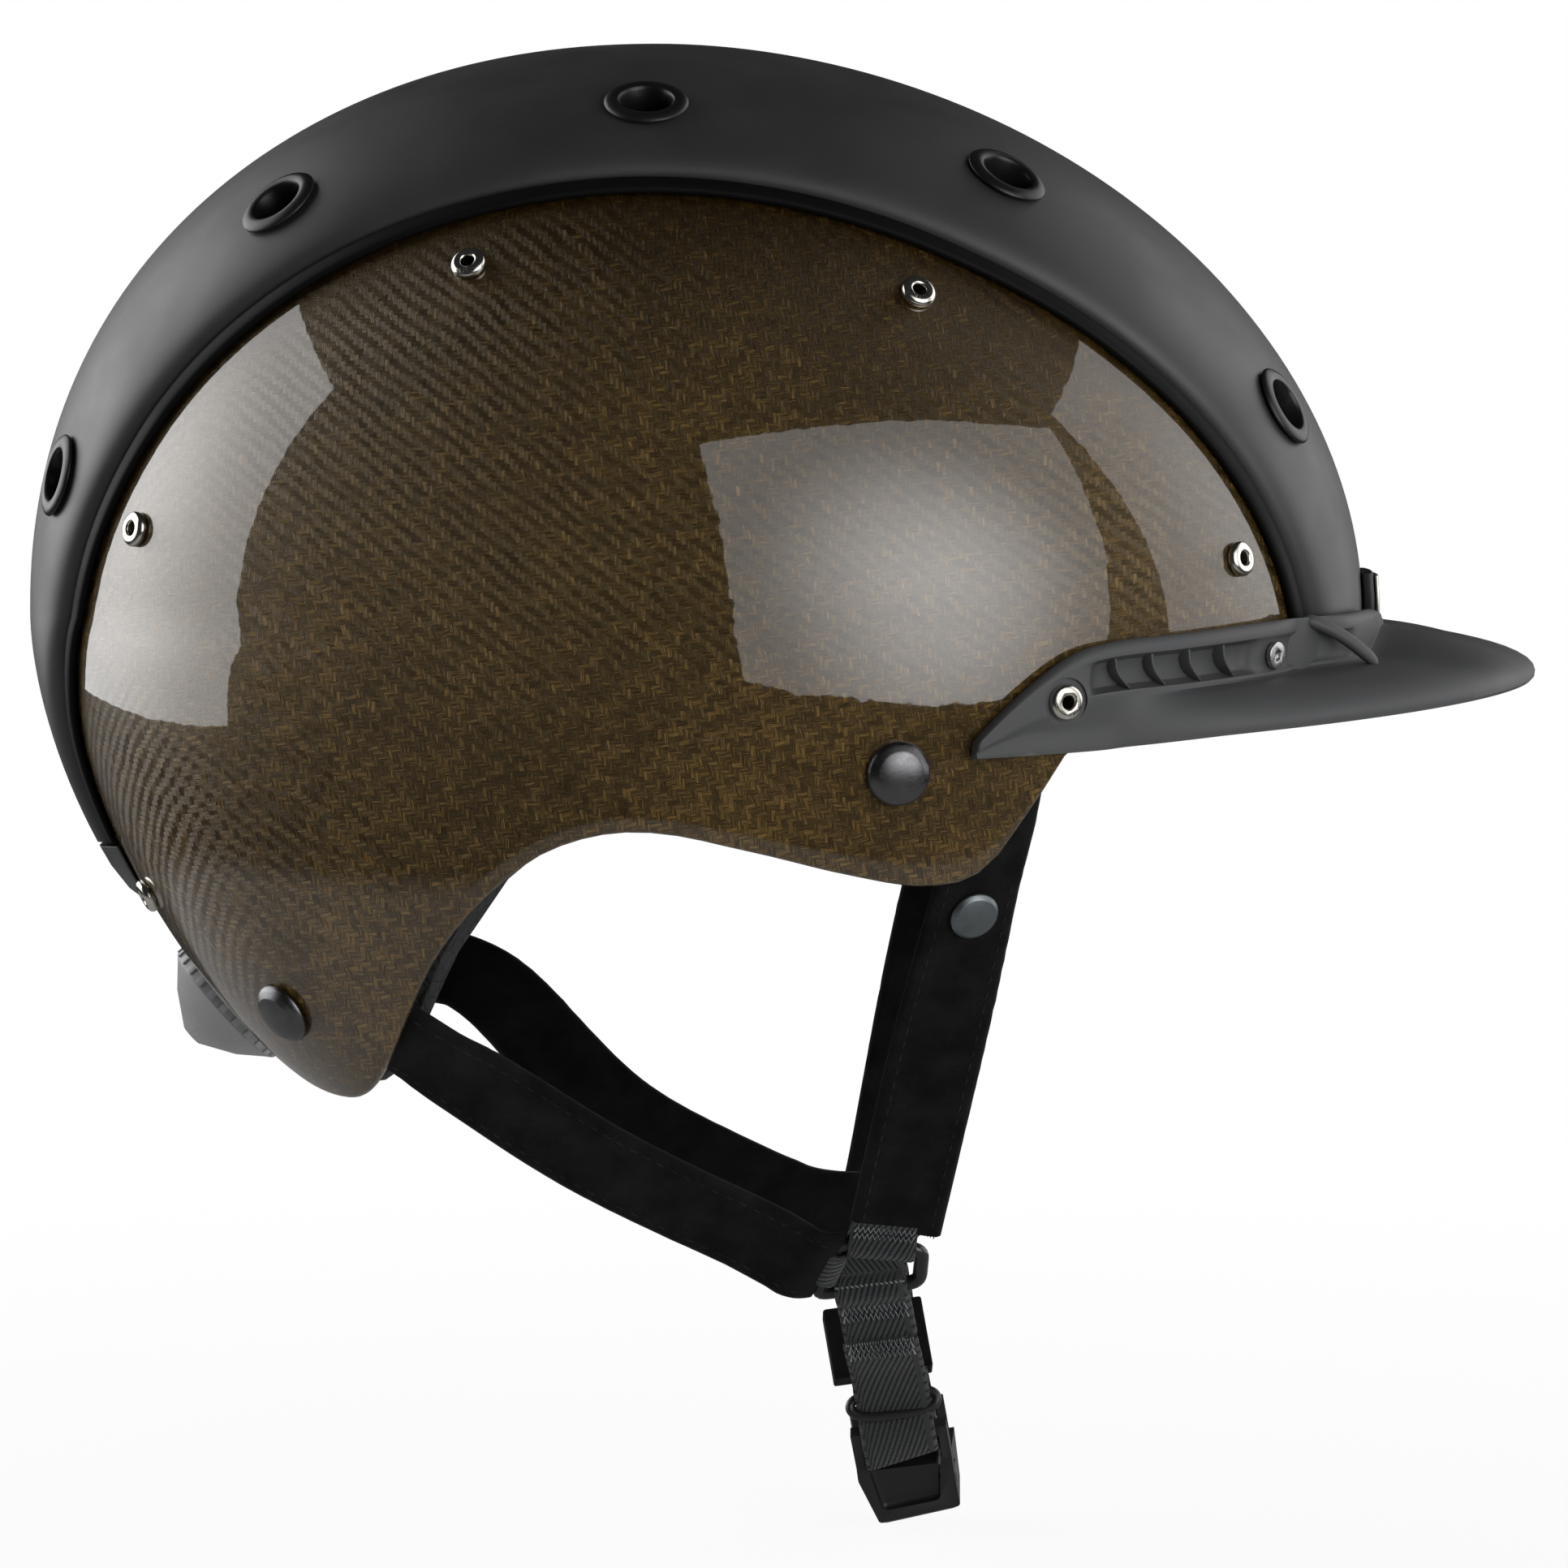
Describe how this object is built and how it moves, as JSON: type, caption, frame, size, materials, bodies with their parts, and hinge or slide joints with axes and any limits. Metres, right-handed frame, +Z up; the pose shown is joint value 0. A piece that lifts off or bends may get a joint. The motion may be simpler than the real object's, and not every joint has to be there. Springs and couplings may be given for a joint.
{
  "type": "riding helmet",
  "caption": "Riding helmet: glossy shell with raised centre band, vent eyelets and peak, foam liner, turn-knob fit system, and a suede and webbing chin harness with a snap buckle.",
  "frame": {"origin": "on the mid-plane, level with the tops of the ear arches, in the middle of the mouth that the head comes in by", "axes": "+X to the front, +Y to the wearer's left, +Z up"},
  "size_m": [0.3082, 0.2158, 0.3039],
  "materials": {
    "shell": "brown woven fibre under a clear gloss lacquer",
    "band": "matte dark grey",
    "trim": "satin black",
    "eyelet": "satin black",
    "nickel": "polished nickel",
    "peak": "matte grey",
    "steel": "satin steel",
    "badge": "brushed and bare",
    "foam": "moulded black foam",
    "lining": "black brushed knit",
    "gunmetal": "polished gunmetal",
    "black_plastic": "satin black",
    "dark_plastic": "satin dark grey",
    "knob": "matte light grey",
    "suede": "black suede",
    "stud": "satin grey",
    "ring": "satin grey",
    "webbing": "black woven webbing",
    "buckle": "satin black"
  },
  "bodies": {
    "helmet": {"outer_shell": "shell", "crown_band": "band", "band_edge_trims": "trim", "band_tail_clip": "trim", "vent_eyelets": "eyelet", "shell_rivets": "nickel", "peak": "peak", "peak_rivets": "nickel", "peak_screws": "steel", "badge_holder": "trim", "badge_plate": "badge", "foam_crown": "foam", "foam_front": "foam", "foam_back": "foam", "foam_right": "foam", "foam_left": "foam", "brow_pad": "lining", "crown_pad": "lining", "top_pads": "lining", "side_pads": "lining", "snap_caps": "gunmetal", "snap_washers": "steel", "arm_brackets": "black_plastic", "arm_pins": "steel", "front_strap_right": "suede", "rear_strap_right": "suede", "strap_stud_right": "stud", "junction_ring_right": "ring", "ring_loops_right": "webbing", "front_strap_left": "suede", "rear_strap_left": "suede", "strap_stud_left": "stud", "junction_ring_left": "ring", "ring_loops_left": "webbing"},
    "nape": {"nape_housing": "dark_plastic", "nape_cover": "dark_plastic", "nape_pad": "lining"},
    "arm_right": {"fit_arm_right": "black_plastic"},
    "arm_left": {"fit_arm_left": "black_plastic"},
    "dial": {"fit_pinion": "steel", "fit_knob": "knob"},
    "chin_right": {"chin_webbing_right": "webbing", "buckle_socket": "buckle", "socket_magnet": "nickel"},
    "keeper": {"keeper_loop": "black_plastic"},
    "button": {"release_button": "dark_plastic", "button_spring": "steel"},
    "chin_left": {"chin_webbing_left": "webbing", "chin_cover_left": "suede", "buckle_tongue": "buckle", "tongue_magnet": "nickel"}
  },
  "joints": [
    {"name": "nape_slide", "type": "slide", "parent": "helmet", "child": "nape", "axis": [0.7431, 0, 0.6691], "range_m": [-0.002, 0.005]},
    {"name": "arm_right_swing", "type": "hinge", "parent": "helmet", "child": "arm_right", "pos_m": [-0.0359, -0.074, 0.0187], "axis": [-0.6691, 0, 0.7431], "range_deg": [-3.95, 1.6]},
    {"name": "arm_left_swing", "type": "hinge", "parent": "helmet", "child": "arm_left", "pos_m": [-0.0359, 0.074, 0.0187], "axis": [-0.6691, 0, 0.7431], "range_deg": [-1.6, 3.95]},
    {"name": "dial_turn", "type": "hinge", "parent": "nape", "child": "dial", "pos_m": [-0.09089, 0, -0.03082], "axis": [0.7431, 0, 0.6691], "range_deg": [-28.8, 71.8]},
    {"name": "chin_right_swing", "type": "hinge", "parent": "helmet", "child": "chin_right", "pos_m": [0.03533, -0.03425, -0.09035], "axis": [0.9876, -0.0899, 0.1284], "range_deg": [-60, 0]},
    {"name": "keeper_slide", "type": "slide", "parent": "chin_right", "child": "keeper", "axis": [-0.1561, -0.4929, 0.8559], "range_m": [0, 0.008]},
    {"name": "button_press", "type": "slide", "parent": "chin_right", "child": "button", "axis": [-0.9876, 0.0899, -0.1284], "range_m": [0, 0.002], "stiffness_N_per_m": 400, "springref_m": -0.002},
    {"name": "chin_left_swing", "type": "hinge", "parent": "helmet", "child": "chin_left", "pos_m": [0.03533, 0.03425, -0.09035], "axis": [0.9876, 0.0899, 0.1284], "range_deg": [0, 60]}
  ],
  "couplings": [
    {"joint": "arm_right_swing", "follows": "nape_slide", "rad_per_m": -13.514},
    {"joint": "arm_left_swing", "follows": "nape_slide", "rad_per_m": 13.514},
    {"joint": "dial_turn", "follows": "nape_slide", "rad_per_m": 250}
  ]
}
